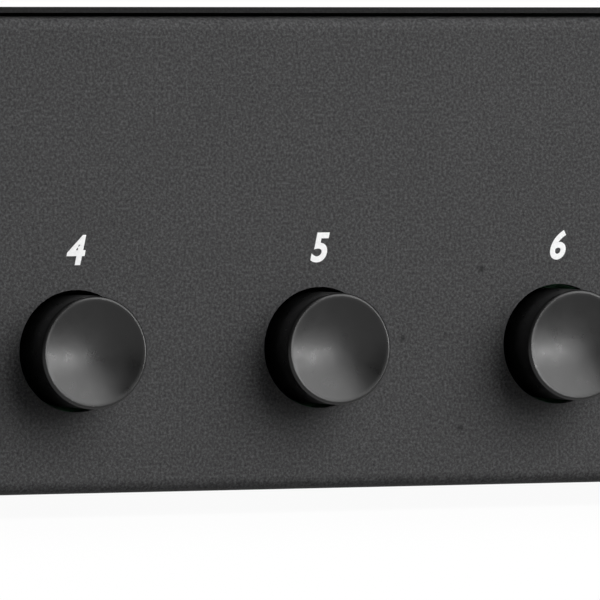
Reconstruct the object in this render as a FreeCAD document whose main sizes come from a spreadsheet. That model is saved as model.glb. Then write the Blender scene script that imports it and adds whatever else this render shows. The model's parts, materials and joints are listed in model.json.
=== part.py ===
import FreeCAD, Part
import math
import os
import Sketcher
from types import SimpleNamespace

# A speaker selector switch: a folded sheet-metal box with six latching push buttons in front
# and seven plug-in terminal blocks behind. All sizes are in millimetres.
# X runs along the front panel, Y from front to back and Z up. Z is 0 under the rubber feet, and
# X and Y are 0 in the middle of the whole object, from the button faces to the terminal plugs.

DRIVING = (
    # enclosure
    ("box_width", 267.0, "over the cover's sides"),
    ("box_depth", 118.0, "front panel face to rear wall face"),
    ("box_height", 50.0, "floor underside to cover top"),
    ("chassis_sheet", 1.0, "steel thickness of floor, front and rear walls"),
    ("cover_sheet", 0.6, "steel thickness of the cover"),
    ("bend_inside", 0.4, "inside radius of every bend"),
    ("cover_gap", 0.35, "air between cover and chassis"),
    ("cover_inset", 0.3, "cover edge behind the front face"),
    ("flange_depth", 9.0, "top flange of the front and rear walls"),
    ("lip_height", 12.0, "side lips that take the cover screws"),
    ("relief_end", 5.0, "corner relief, from the wall face to the lip"),
    ("relief_start", 2.2, "corner relief, where it starts behind the wall face"),
    ("relief_width", 2.4, "corner relief, in from the side"),
    ("vent_count", 7.0, "slots in each side of the cover"),
    ("vent_pitch", 6.0, "from slot to slot"),
    ("vent_width", 2.4, "along the side"),
    ("vent_length", 16.0, "up the side"),
    ("vent_rise", 31.0, "slot middle over the floor underside"),
    # stick-on feet, and screws
    ("foot_height", 2.5, "under the floor"),
    ("foot_top_radius", 7.0, "against the floor"),
    ("foot_base_radius", 6.2, "on the shelf"),
    ("foot_across", 224.0, "between foot centres along the panel"),
    ("foot_inset", 16.0, "foot centre from the front or rear face"),
    ("board_screw_length", 5.0, "under the head"),
    ("screw_radius", 1.4, "shank of every case screw"),
    ("screw_head_radius", 2.8, "pan head"),
    ("screw_head_height", 1.2, "pan head"),
    ("screw_clearance", 0.2, "round a shank in a clearance hole"),
    ("side_screw_rise", 7.0, "over the floor underside"),
    ("side_screw_inset", 25.0, "from the front or rear face"),
    ("side_screw_length", 6.0, "under the head"),
    # push buttons
    ("button_count", 6.0, "zones"),
    ("button_pitch", 27.2, "between button centres"),
    ("button_rise", 14.7, "button centre over the floor underside"),
    ("button_hole_radius", 6.3, "in the front panel"),
    ("cap_radius", 5.8, "outside of the round cap"),
    ("cap_out", 5.2, "cap face in front of the panel"),
    ("cap_length", 8.2, "whole cap"),
    ("cap_rim", 0.35, "bevelled rim round the dish"),
    ("dish_depth", 0.8, "hollow of the cap's face"),
    ("socket_depth", 5.0, "square socket in the back of the cap"),
    ("press_travel", 3.0, "full stroke of a button"),
    # latching switches
    ("switch_set_back", 6.8, "housing front behind the panel face"),
    ("switch_length", 28.0, "housing"),
    ("switch_width", 12.0, "housing"),
    ("switch_height", 10.0, "housing"),
    ("switch_front_wall", 2.0, "housing wall that stops the slider"),
    ("switch_back_wall", 1.5, "housing wall behind the spring"),
    ("slide_clearance", 0.1, "round anything that slides in a housing"),
    ("stem_size", 4.0, "square stem that carries the cap"),
    ("slider_width", 5.2, "plunger slider"),
    ("slider_height", 6.2, "plunger slider"),
    ("slider_length", 11.0, "plunger slider"),
    ("guide_size", 1.6, "square rod inside the spring"),
    ("guide_length", 5.0, "square rod inside the spring"),
    ("cam_depth", 0.8, "heart cam track in the slider's side"),
    ("latch_wire", 0.7, "latch pin"),
    ("latch_rest", 7.0, "latch pin behind the slider's front face"),
    ("latch_drop", 1.65, "latch pin under the slider's centre line"),
    ("latch_length", 14.0, "latch pin from hook to hook"),
    ("spring_wire", 0.4, "square wire"),
    ("spring_radius", 1.8, "middle of the wire"),
    ("spring_turns", 4.0, "return spring"),
    ("spring_sides", 6.0, "straight runs in a turn"),
    ("contact_size", 0.8, "switch contact pins"),
    ("contact_pitch", 4.0, "between contact pins"),
    ("contact_row", 4.2, "contact row from the switch's centre line"),
    ("pin_tail", 1.2, "pins below the board"),
    # circuit board
    ("board_thickness", 1.6, "glass fibre board"),
    ("board_width", 248.0, "glass fibre board"),
    ("board_front", 9.0, "board edge behind the panel face"),
    ("board_back", 2.0, "board edge before the rear wall face"),
    ("standoff_across", 230.0, "between the outer standoffs"),
    ("standoff_front", 44.0, "front row behind the panel face"),
    ("standoff_span", 52.0, "between the two rows"),
    ("standoff_flat", 5.5, "hexagon across its flats"),
    # terminals
    ("pole_count", 4.0, "wires in each terminal block"),
    ("pole_pitch", 5.08, "between wires"),
    ("input_across", -88.0, "input block from the middle"),
    ("output_across", -52.0, "first output block from the middle"),
    ("output_pitch", 32.0, "between output blocks"),
    ("header_width", 23.0, "fixed header"),
    ("header_height", 9.0, "fixed header"),
    ("header_length", 13.2, "fixed header"),
    ("header_wall", 1.2, "shroud wall"),
    ("header_back_wall", 2.2, "wall that holds the pins"),
    ("header_out", 0.6, "header mouth behind the rear wall face"),
    ("header_clearance", 0.4, "cut-out round the header"),
    ("header_pin", 1.0, "square pin"),
    ("plug_clearance", 0.3, "nose in the shroud"),
    ("plug_width", 21.8, "plug body"),
    ("plug_gap", 1.0, "plug body from the rear wall face"),
    ("plug_out", 11.0, "plug's rear face from the rear wall face"),
    ("plug_drop", 0.6, "plug body below the board's top"),
    ("plug_height", 14.0, "plug top over the board's top"),
    ("plug_shoulder", 9.4, "where the rear face leans in"),
    ("wire_entry_width", 3.6, "wire entry"),
    ("wire_entry_height", 3.8, "wire entry"),
    ("wire_entry_depth", 5.5, "wire entry"),
    ("well_size", 3.8, "square screw well"),
    ("well_depth", 1.6, "square screw well"),
    ("clamp_screw_radius", 1.6, "terminal screw"),
    ("clamp_screw_height", 1.1, "terminal screw"),
    ("plug_groove", 0.5, "groove between poles"),
    # protection slide switch and resistors
    ("guard_across", -117.5, "slide switch from the middle"),
    ("guard_width", 15.0, "slide switch body"),
    ("guard_height", 8.0, "slide switch body"),
    ("guard_length", 6.4, "slide switch body"),
    ("guard_gap", 0.2, "body in front of the rear wall"),
    ("guard_window_width", 8.8, "window in the rear wall"),
    ("guard_window_height", 4.6, "window in the rear wall"),
    ("guard_knob", 3.8, "square knob"),
    ("guard_knob_out", 2.6, "knob behind the rear wall face"),
    ("guard_slot_depth", 3.0, "slot in the body"),
    ("guard_travel", 4.0, "knob stroke"),
    ("resistor_count", 4.0, "protection resistors"),
    ("resistor_pitch", 50.0, "between resistors"),
    ("resistor_length", 38.0, "ceramic block"),
    ("resistor_size", 9.0, "ceramic block"),
    ("resistor_behind", 68.0, "resistor centre behind the panel face"),
    ("resistor_lift", 1.5, "air under the ceramic"),
    ("resistor_lead", 0.9, "lead wire"),
)


class Size:
    """A number that remembers the sheet expression it comes from."""

    def __init__(self, value, text):
        self.value = float(value)
        self.text = text

    def __add__(self, other):
        other = size(other)
        return Size(self.value + other.value, f"({self.text} + {other.text})")

    def __sub__(self, other):
        other = size(other)
        return Size(self.value - other.value, f"({self.text} - {other.text})")

    def __mul__(self, other):
        other = size(other)
        return Size(self.value * other.value, f"({self.text} * {other.text})")

    def __truediv__(self, other):
        other = size(other)
        return Size(self.value / other.value, f"({self.text} / {other.text})")

    def __radd__(self, other):
        return size(other) + self

    def __rsub__(self, other):
        return size(other) - self

    def __rmul__(self, other):
        return size(other) * self

    def __neg__(self):
        return Size(-self.value, f"(-1 * {self.text})")


def size(thing):
    """A plain number as a Size."""
    if isinstance(thing, Size):
        return thing
    return Size(thing, f"({float(thing)})")


doc = FreeCAD.newDocument("speaker_selector_switch")
sheet = doc.addObject("Spreadsheet::Sheet", "dims")
d = SimpleNamespace()
for line, (name, number, meaning) in enumerate(DRIVING, start=1):
    sheet.set(f"A{line}", name)
    sheet.set(f"B{line}", str(number))
    sheet.set(f"C{line}", meaning)
    sheet.setAlias(f"B{line}", name)
    setattr(d, name, Size(number, f"dims.{name}"))
doc.recompute()

# Places that several pieces share.
FRONT_FACE = (d.cap_out - d.box_depth - d.plug_out) / 2
REAR_FACE = FRONT_FACE + d.box_depth
CHASSIS_WIDTH = d.box_width - 2 * d.cover_sheet - 2 * d.cover_gap
WALL_TOP = d.box_height - d.cover_sheet - d.cover_gap
BOARD_TOP = d.foot_height + d.button_rise - d.switch_height / 2
BOARD_RISE = BOARD_TOP - d.board_thickness - d.foot_height
FIRST_BUTTON = -d.button_pitch * (d.button_count - 1) / 2
BUTTONS = range(int(d.button_count.value))
SLIDER_FRONT = d.switch_set_back + d.switch_front_wall
HEADER_BACK = d.header_out - d.header_length
PIN_RISE = d.header_height / 2
POLE_START = -d.pole_pitch * (d.pole_count - 1) / 2
# Small screws and their holes have eight sides, and the heads outside the box sixteen, which
# keeps what repeats light.
SCREW_SIDES = 8
OUTSIDE_HEAD_SIDES = 16
# Rings of the cap's dish, as shares of its radius; between them it follows a parabola.
DISH_RINGS = (0.5,)

sub_parts = []


# Helpers for bodies, sketches and features.

def bind(thing, path, amount):
    thing.setExpression(path, size(amount).text)


def new_body(label, x=0, y=0, z=0):
    """An empty body whose own origin sits at x, y, z in the frame of the whole object."""
    body = doc.addObject("PartDesign::Body", label)
    body.Label = label
    body.AllowCompound = True
    for axis, amount in (("x", x), ("y", y), ("z", z)):
        bind(body, f"Placement.Base.{axis}", amount)
    sub_parts.append(body)
    return body


def origin_part(body, role):
    return next(f for f in body.Origin.OriginFeatures if f.Role == role)


def draw(body, plane, lift=0):
    """A sketch on one of the body's planes, lifted along +Z, +Y or +X for XY, XZ or YZ."""
    sketch = body.newObject("Sketcher::SketchObject", f"{body.Label}_outline")
    sketch.AttachmentSupport = [(origin_part(body, f"{plane}_Plane"), "")]
    sketch.MapMode = "FlatFace"
    side = -1 if plane == "XZ" else 1
    bind(sketch, "AttachmentOffset.Base.z", side * size(lift))
    return sketch


def tie(sketch, piece, point, x, y):
    """Fix a point of the sketch by its distances from the sketch's origin."""
    for kind, axis, amount in (("DistanceX", -2, size(x)), ("DistanceY", -1, size(y))):
        if amount.value == 0:
            sketch.addConstraint(Sketcher.Constraint("PointOnObject", piece, point, axis))
        else:
            index = sketch.addConstraint(Sketcher.Constraint(kind, piece, point, amount.value))
            bind(sketch, f"Constraints[{index}]", amount)


def outline(sketch, corners):
    """A closed outline of straight lines through the corners."""
    first = sketch.GeometryCount
    points = [FreeCAD.Vector(size(x).value, size(y).value, 0) for x, y in corners]
    for start, end in zip(points, points[1:] + points[:1]):
        sketch.addGeometry(Part.LineSegment(start, end))
    for index, (x, y) in enumerate(corners):
        after = first + (index + 1) % len(corners)
        sketch.addConstraint(Sketcher.Constraint("Coincident", first + index, 2, after, 1))
        tie(sketch, first + index, 1, x, y)


def rectangle(sketch, x_low, x_high, y_low, y_high):
    outline(sketch, [(x_low, y_low), (x_high, y_low), (x_high, y_high), (x_low, y_high)])


def circle(sketch, x, y, radius):
    centre = FreeCAD.Vector(size(x).value, size(y).value, 0)
    piece = sketch.addGeometry(Part.Circle(centre, FreeCAD.Vector(0, 0, 1), size(radius).value))
    index = sketch.addConstraint(Sketcher.Constraint("Radius", piece, size(radius).value))
    bind(sketch, f"Constraints[{index}]", radius)
    tie(sketch, piece, 3, x, y)


def many_sided(sketch, x, y, radius, sides):
    """A regular polygon round x, y with its corners at the radius."""
    corners = []
    for step in range(sides):
        angle = 2 * math.pi * (step + 0.5) / sides
        corners.append((x + radius * math.cos(angle), y + radius * math.sin(angle)))
    outline(sketch, corners)


def feature(body, kind, sketch, **settings):
    result = body.newObject(f"PartDesign::{kind}", f"{body.Label}_{kind.lower()}")
    result.Profile = sketch
    for name, value in settings.items():
        setattr(result, name, value)
    return result


def pad(body, sketch, length, both_ways=False):
    """Material along +Z, +Y or +X of the sketch's plane, or half each way."""
    back = sketch.AttachmentSupport[0][0].Role == "XZ_Plane"
    result = feature(body, "Pad", sketch, Reversed=back and not both_ways)
    if both_ways:
        result.SideType = "Symmetric"
    bind(result, "Length", length)
    return result


def pocket(body, sketch, depth, backwards=False):
    """A cut along +Z, +Y or +X of the sketch's plane, or the other way when it goes backwards."""
    along = sketch.AttachmentSupport[0][0].Role == "XZ_Plane"
    result = feature(body, "Pocket", sketch, Reversed=along == backwards)
    bind(result, "Length", depth)
    return result


def pocket_both_ways(body, sketch, depth):
    result = feature(body, "Pocket", sketch, SideType="Symmetric")
    bind(result, "Length", depth)
    return result


def turn(body, sketch, axis="V_Axis"):
    """A full revolution about the sketch's own vertical or horizontal axis."""
    result = feature(body, "Revolution", sketch, ReferenceAxis=(sketch, [axis]))
    result.Angle = 360
    return result


def row(body, original, count, spacing, axis="X", rows=None):
    """Repeat a feature along an axis, and with rows=(count, spacing, axis) along a second one."""
    result = body.newObject("PartDesign::LinearPattern", f"{body.Label}_row")
    result.Originals = [original]
    result.Direction = (origin_part(body, f"{axis}_Axis"), [""])
    result.Mode = "Extent"
    bind(result, "Length", size(spacing) * (size(count) - 1))
    bind(result, "Occurrences", count)
    if rows:
        result.Direction2 = (origin_part(body, f"{rows[2]}_Axis"), [""])
        result.Mode2 = "Extent"
        bind(result, "Length2", size(rows[1]) * (size(rows[0]) - 1))
        bind(result, "Occurrences2", rows[0])
    body.Tip = result
    return result


def smooth(body, kind, amount, chosen):
    """A Fillet or Chamfer on the edges of the body's tip that chosen(low, high) accepts."""
    doc.recompute()
    base = body.Tip
    names = []
    for index, edge in enumerate(base.Shape.Edges, start=1):
        box = edge.BoundBox
        low = (box.XMin, box.YMin, box.ZMin)
        high = (box.XMax, box.YMax, box.ZMax)
        if chosen(low, high):
            names.append(f"Edge{index}")
    if not names:
        raise RuntimeError(f"{body.Label}: no edge to smooth")
    result = body.newObject(f"PartDesign::{kind}", f"{body.Label}_{kind.lower()}")
    result.Base = (base, names)
    bind(result, "Radius" if kind == "Fillet" else "Size", amount)
    return result


def lies_at(low, high, y=None, z=None, x=None, slack=0.01):
    """Whether an edge runs along the one axis that isn't given, at the other two places."""
    wanted = (x, y, z)
    for axis in range(3):
        if wanted[axis] is None:
            if high[axis] - low[axis] < 1:
                return False
        elif max(abs(low[axis] - wanted[axis]), abs(high[axis] - wanted[axis])) > slack:
            return False
    return True


# Enclosure.

def make_chassis():
    """Floor, front panel and rear wall in one folded sheet, with lips for the cover screws."""
    body = new_body("chassis", 0, FRONT_FACE, d.foot_height)
    sheet_t, depth, top, flange = d.chassis_sheet, d.box_depth, WALL_TOP, d.flange_depth
    half = CHASSIS_WIDTH / 2
    profile = draw(body, "YZ")
    outline(profile, [
        (flange, top), (0, top), (0, 0), (depth, 0), (depth, top), (depth - flange, top),
        (depth - flange, top - sheet_t), (depth - sheet_t, top - sheet_t),
        (depth - sheet_t, sheet_t), (sheet_t, sheet_t), (sheet_t, top - sheet_t),
        (flange, top - sheet_t)])
    pad(body, profile, CHASSIS_WIDTH, both_ways=True)

    outer = [(y, z) for y in (0, depth.value) for z in (0, top.value)]
    smooth(body, "Fillet", d.bend_inside + sheet_t,
           lambda low, high: any(lies_at(low, high, y=y, z=z) for y, z in outer))
    inner = [(y, z) for y in (sheet_t.value, (depth - sheet_t).value)
             for z in (sheet_t.value, (top - sheet_t).value)]
    smooth(body, "Fillet", d.bend_inside,
           lambda low, high: any(lies_at(low, high, y=y, z=z) for y, z in inner))

    lips = draw(body, "XZ", d.relief_end)
    rectangle(lips, half - sheet_t, half, 0, d.lip_height)
    rectangle(lips, -half, sheet_t - half, 0, d.lip_height)
    pad(body, lips, depth - 2 * d.relief_end)
    reliefs = draw(body, "XY")
    for side in (-1, 1):
        inside = side * (half - d.relief_width)
        outside = side * (half + sheet_t)
        for start, end in ((d.relief_start, d.relief_end),
                           (depth - d.relief_end, depth - d.relief_start)):
            rectangle(reliefs, inside, outside, start, end)
    pocket(body, reliefs, 2 * sheet_t)
    smooth(body, "Fillet", d.bend_inside + sheet_t,
           lambda low, high: any(lies_at(low, high, x=x, z=0) for x in (-half.value, half.value)))
    inside_x = (half - sheet_t).value
    smooth(body, "Fillet", d.bend_inside,
           lambda low, high: any(lies_at(low, high, x=x, z=sheet_t.value)
                                 for x in (-inside_x, inside_x)))

    button_hole = draw(body, "XZ")
    circle(button_hole, FIRST_BUTTON, d.button_rise, d.button_hole_radius)
    first = pocket(body, button_hole, 2 * sheet_t)
    row(body, first, d.button_count, d.button_pitch)

    base = BOARD_TOP - d.foot_height
    low = base - d.header_clearance
    high = base + d.header_height + d.header_clearance
    reach = d.header_width / 2 + d.header_clearance
    for across in (d.output_across, d.input_across):
        window = draw(body, "XZ", depth)
        rectangle(window, across - reach, across + reach, low, high)
        cut = pocket(body, window, 2 * sheet_t, backwards=True)
        if across is d.output_across:
            row(body, cut, d.button_count, d.output_pitch)
    window = draw(body, "XZ", depth)
    middle = base + d.guard_height / 2
    rectangle(window, d.guard_across - d.guard_window_width / 2,
              d.guard_across + d.guard_window_width / 2,
              middle - d.guard_window_height / 2, middle + d.guard_window_height / 2)
    pocket(body, window, 2 * sheet_t, backwards=True)

    lip_slots = draw(body, "YZ")
    reach = d.screw_radius + d.screw_clearance
    for y in (d.side_screw_inset, depth - d.side_screw_inset):
        rectangle(lip_slots, y - reach, y + reach,
                  d.side_screw_rise - reach, d.side_screw_rise + reach)
    pocket_both_ways(body, lip_slots, CHASSIS_WIDTH + 2)


def make_cover():
    """Top and two sides in one folded sheet, with screw holes and vent slots in the sides."""
    body = new_body("cover", 0, FRONT_FACE, d.foot_height)
    half, top, sheet_t = d.box_width / 2, d.box_height, d.cover_sheet
    length = d.box_depth - 2 * d.cover_inset
    edge = d.cover_gap
    profile = draw(body, "XZ", d.cover_inset)
    outline(profile, [
        (-half, edge), (sheet_t - half, edge), (sheet_t - half, top - sheet_t),
        (half - sheet_t, top - sheet_t), (half - sheet_t, edge), (half, edge),
        (half, top), (-half, top)])
    pad(body, profile, length)
    smooth(body, "Fillet", d.bend_inside + sheet_t,
           lambda low, high: any(lies_at(low, high, x=x, z=top.value)
                                 for x in (-half.value, half.value)))
    inside_x = (half - sheet_t).value
    smooth(body, "Fillet", d.bend_inside,
           lambda low, high: any(lies_at(low, high, x=x, z=(top - sheet_t).value)
                                 for x in (-inside_x, inside_x)))
    holes = draw(body, "YZ")
    for y in (d.side_screw_inset, d.box_depth - d.side_screw_inset):
        many_sided(holes, y, d.side_screw_rise, d.screw_radius + d.screw_clearance, SCREW_SIDES)
    pocket_both_ways(body, holes, d.box_width + 2)
    vent = draw(body, "YZ")
    start = (d.box_depth - d.vent_pitch * (d.vent_count - 1)) / 2
    rectangle(vent, start - d.vent_width / 2, start + d.vent_width / 2,
              d.vent_rise - d.vent_length / 2, d.vent_rise + d.vent_length / 2)
    first = pocket_both_ways(body, vent, d.box_width + 2)
    row(body, first, d.vent_count, d.vent_pitch, "Y")


def make_cover_screws():
    """Two pan-head screws in each side, repeated towards the back."""
    body = new_body("cover_screws", 0, FRONT_FACE + d.side_screw_inset,
                    d.foot_height + d.side_screw_rise)
    for side in (-1, 1):
        seat = side * d.box_width / 2
        head = draw(body, "YZ", seat - (d.screw_head_height if side < 0 else 0))
        many_sided(head, 0, 0, d.screw_head_radius, OUTSIDE_HEAD_SIDES)
        heads = pad(body, head, d.screw_head_height)
        row(body, heads, 2, d.box_depth - 2 * d.side_screw_inset, "Y")
        shank = draw(body, "YZ", seat - (d.side_screw_length if side > 0 else 0))
        many_sided(shank, 0, 0, d.screw_radius, SCREW_SIDES)
        shanks = pad(body, shank, d.side_screw_length)
        row(body, shanks, 2, d.box_depth - 2 * d.side_screw_inset, "Y")


def make_rubber_feet():
    """Four stick-on feet, each a low truncated cone."""
    body = new_body("rubber_feet", -d.foot_across / 2, FRONT_FACE + d.foot_inset, d.foot_height)
    sketch = draw(body, "XZ")
    outline(sketch, [(0, 0), (d.foot_top_radius, 0), (d.foot_base_radius, -d.foot_height),
                     (0, -d.foot_height)])
    foot = turn(body, sketch)
    row(body, foot, 2, d.foot_across, "X", (2, d.box_depth - 2 * d.foot_inset, "Y"))


# Circuit board.

def make_board():
    body = new_body("main_board", 0, FRONT_FACE, BOARD_TOP - d.board_thickness)
    sketch = draw(body, "XY")
    rectangle(sketch, -d.board_width / 2, d.board_width / 2,
              d.board_front, d.box_depth - d.board_back)
    pad(body, sketch, d.board_thickness)
    holes = draw(body, "XY")
    many_sided(holes, -d.standoff_across / 2, d.standoff_front,
               d.screw_radius + d.screw_clearance, SCREW_SIDES)
    first = pocket(body, holes, 2 * d.board_thickness)
    row(body, first, 3, d.standoff_across / 2, "X", (2, d.standoff_span, "Y"))


def make_standoffs():
    """Six hexagonal spacers pressed into the floor."""
    body = new_body("board_standoffs", -d.standoff_across / 2, FRONT_FACE + d.standoff_front,
                    d.foot_height + d.chassis_sheet)
    sketch = draw(body, "XY")
    many_sided(sketch, 0, 0, d.standoff_flat / math.sqrt(3), 6)
    many_sided(sketch, 0, 0, d.screw_radius + d.screw_clearance, SCREW_SIDES)
    spacer = pad(body, sketch, BOARD_RISE - d.chassis_sheet)
    row(body, spacer, 3, d.standoff_across / 2, "X", (2, d.standoff_span, "Y"))


def make_board_screws():
    body = new_body("board_screws", -d.standoff_across / 2, FRONT_FACE + d.standoff_front,
                    BOARD_TOP)
    rows = (2, d.standoff_span, "Y")
    shank = draw(body, "XY", -d.board_screw_length)
    many_sided(shank, 0, 0, d.screw_radius, SCREW_SIDES)
    shanks = pad(body, shank, d.board_screw_length)
    row(body, shanks, 3, d.standoff_across / 2, "X", rows)
    head = draw(body, "XY")
    many_sided(head, 0, 0, d.screw_head_radius, SCREW_SIDES)
    heads = pad(body, head, d.screw_head_height)
    row(body, heads, 3, d.standoff_across / 2, "X", rows)


# Push buttons and their switches. Each has its origin where its axis meets the panel's face.

def button_place(index):
    return FIRST_BUTTON + index * d.button_pitch, FRONT_FACE, d.foot_height + d.button_rise


def make_cap(index):
    """Round cap with a dished face, a bevelled rim and a square socket for the stem."""
    body = new_body(f"button_cap_{index + 1}", *button_place(index))
    face = -d.cap_out
    back = face + d.cap_length
    dish = d.cap_radius - d.cap_rim
    dished = [(share * dish, face + d.dish_depth * (1 - share ** 2)) for share in DISH_RINGS]
    sketch = draw(body, "XY")
    outline(sketch, [(0, dished[0][1]), *dished, (dish, face), (d.cap_radius, face + d.cap_rim),
                     (d.cap_radius, back), (0, back)])
    turn(body, sketch)
    socket = draw(body, "XZ", back)
    half = d.stem_size / 2
    rectangle(socket, -half, half, -half, half)
    pocket(body, socket, d.socket_depth, backwards=True)


def make_plunger(index):
    """Square stem, slider with its heart-shaped cam track, and the rod that guides the spring."""
    body = new_body(f"switch_plunger_{index + 1}", *button_place(index))
    stem_start = d.cap_length - d.cap_out - d.socket_depth
    half = d.stem_size / 2
    stem = draw(body, "XZ", stem_start)
    rectangle(stem, -half, half, -half, half)
    pad(body, stem, SLIDER_FRONT - stem_start)
    slider = draw(body, "XZ", SLIDER_FRONT)
    rectangle(slider, -d.slider_width / 2, d.slider_width / 2,
              -d.slider_height / 2, d.slider_height / 2)
    pad(body, slider, d.slider_length)
    guide = draw(body, "XZ", SLIDER_FRONT + d.slider_length)
    half = d.guide_size / 2
    rectangle(guide, -half, half, -half, half)
    pad(body, guide, d.guide_length)

    lane = d.latch_drop + d.latch_wire
    near = SLIDER_FRONT + d.latch_rest - d.press_travel - d.latch_wire
    far = SLIDER_FRONT + d.latch_rest + d.latch_wire
    track = draw(body, "YZ", d.slider_width / 2)
    outline(track, [(near, -lane), (far, -lane), (far + d.latch_drop, -d.latch_wire),
                    (far + d.latch_drop, d.latch_wire), (far, lane), (near, lane)])
    heart = d.latch_drop - d.latch_wire
    outline(track, [(near + d.latch_wire * 2, -heart), (far - d.latch_wire, -heart / 2),
                    (far + d.latch_wire / 2, 0), (far - d.latch_wire, heart / 2),
                    (near + d.latch_wire * 2, heart), (near + d.latch_wire * 3, 0)])
    pocket(body, track, d.cam_depth, backwards=True)


def make_housing(index):
    """Switch housing with the stem's hole, the slider's chamber and the latch pin's channel."""
    body = new_body(f"switch_housing_{index + 1}", *button_place(index))
    outer = draw(body, "XZ", d.switch_set_back)
    rectangle(outer, -d.switch_width / 2, d.switch_width / 2,
              -d.switch_height / 2, d.switch_height / 2)
    pad(body, outer, d.switch_length)
    smooth(body, "Chamfer", d.cam_depth,
           lambda low, high: any(lies_at(low, high, x=x, z=d.switch_height.value / 2)
                                 for x in (-d.switch_width.value / 2, d.switch_width.value / 2)))
    hole = draw(body, "XZ", d.switch_set_back)
    half = d.stem_size / 2 + d.slide_clearance
    rectangle(hole, -half, half, -half, half)
    pocket(body, hole, d.switch_front_wall)
    chamber = draw(body, "XZ", SLIDER_FRONT)
    wide = d.slider_width / 2 + d.slide_clearance
    tall = d.slider_height / 2 + d.slide_clearance
    rectangle(chamber, -wide, wide, -tall, tall)
    pocket(body, chamber, d.switch_length - d.switch_front_wall - d.switch_back_wall)

    room = d.latch_wire / 2 + 2 * d.slide_clearance
    pin = SLIDER_FRONT + d.latch_rest
    channel = draw(body, "XY", -d.latch_drop - room)
    inside = d.slider_width / 2 - d.slide_clearance
    outline(channel, [
        (inside, pin - room), (wide + 2 * d.latch_wire, pin - room),
        (wide + 2 * d.latch_wire, pin + d.latch_length - d.latch_wire - room),
        (wide + 3.5 * d.latch_wire, pin + d.latch_length - d.latch_wire - room),
        (wide + 3.5 * d.latch_wire, pin + d.latch_length + room),
        (inside, pin + d.latch_length + room)])
    pocket(body, channel, 2 * room)


def make_latch_pins():
    """One bent wire in each switch: its front end rides in the cam, its back end in the housing."""
    x, y, z = button_place(0)
    body = new_body("latch_pins", x, y, z)
    wire = d.latch_wire
    tip = SLIDER_FRONT + d.latch_rest - wire / 2
    end = tip + d.latch_length + wire / 2
    inside = d.slider_width / 2 - d.cam_depth + d.slide_clearance
    side = d.slider_width / 2 + 3 * d.slide_clearance
    sketch = draw(body, "XY", -d.latch_drop - wire / 2)
    outline(sketch, [
        (inside, tip), (side + wire, tip), (side + wire, end - wire), (side + 2 * wire, end - wire),
        (side + 2 * wire, end), (side, end), (side, tip + wire), (inside, tip + wire)])
    pin = pad(body, sketch, wire)
    row(body, pin, d.button_count, d.button_pitch)


def spring_path():
    """Corners of the spring's middle line, round an axis along Y, in straight runs."""
    start = (SLIDER_FRONT + d.slider_length + d.slide_clearance).value
    end = (d.switch_set_back + d.switch_length - d.switch_back_wall - d.slide_clearance).value
    radius = d.spring_radius.value
    half_diagonal = d.spring_wire.value / math.sqrt(2)
    sides = int(d.spring_sides.value)
    steps = int(d.spring_turns.value) * sides
    path = []
    for step in range(steps + 1):
        angle = 2 * math.pi * step / sides
        along = start + half_diagonal + (end - start - 2 * half_diagonal) * step / steps
        path.append(FreeCAD.Vector(radius * math.cos(angle), along, radius * math.sin(angle)))
    return path


def make_spring(index):
    """Return spring of square wire between the slider and the housing's back wall."""
    path = spring_path()
    half = d.spring_wire.value / 2
    runs = [(after - before).normalize() for before, after in zip(path, path[1:])]
    out = FreeCAD.Vector(path[0].x, 0, path[0].z).normalize()
    up = runs[0].cross(out).normalize()
    corners = [path[0] + (out * across + up * rise) * half
               for across, rise in ((-1, -1), (1, -1), (1, 1), (-1, 1))]
    sections = [Part.makePolygon(corners + corners[:1])]
    for step, run in enumerate(runs):
        # A section lies in the plane that halves the bend, so every face of a run stays flat.
        halving = run + (runs[step + 1] if step + 1 < len(runs) else run)
        corners = [corner + run * ((path[step + 1] - corner).dot(halving) / run.dot(halving))
                   for corner in corners]
        sections.append(Part.makePolygon(corners + corners[:1]))
    spring = doc.addObject("Part::Feature", f"return_spring_{index + 1}")
    spring.Label = f"return_spring_{index + 1}"
    spring.Shape = Part.makeLoft(sections, True, True)
    place = [size(amount).value for amount in button_place(index)]
    spring.Placement = FreeCAD.Placement(FreeCAD.Vector(*place), FreeCAD.Rotation())
    sub_parts.append(spring)
    gap = path[int(d.spring_sides.value)].y - path[0].y - 2 * math.sqrt(2) * half
    print(f"{spring.Label}: least gap between turns {gap:.2f} mm")


def make_switch_pins():
    """Six contact pins under each two-pole switch, through the board."""
    x, y, z = button_place(0)
    body = new_body("switch_pins", x, y, BOARD_TOP)
    half = d.contact_size / 2
    start = d.switch_set_back + d.contact_pitch
    for side in (-1, 1):
        sketch = draw(body, "XY", -d.board_thickness - d.pin_tail)
        middle = side * d.contact_row
        rectangle(sketch, middle - half, middle + half, start - half, start + half)
        pin = pad(body, sketch, d.board_thickness + d.pin_tail)
        row(body, pin, d.button_count, d.button_pitch, "X", (3, d.contact_pitch, "Y"))


# Terminals. Each block has its origin in the rear wall's face, level with the top of the board.

def terminal_places():
    """Name and X of the input block and of the six output blocks."""
    places = [("input", d.input_across)]
    for index in BUTTONS:
        places.append((f"zone_{index + 1}", d.output_across + index * d.output_pitch))
    return places


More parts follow.
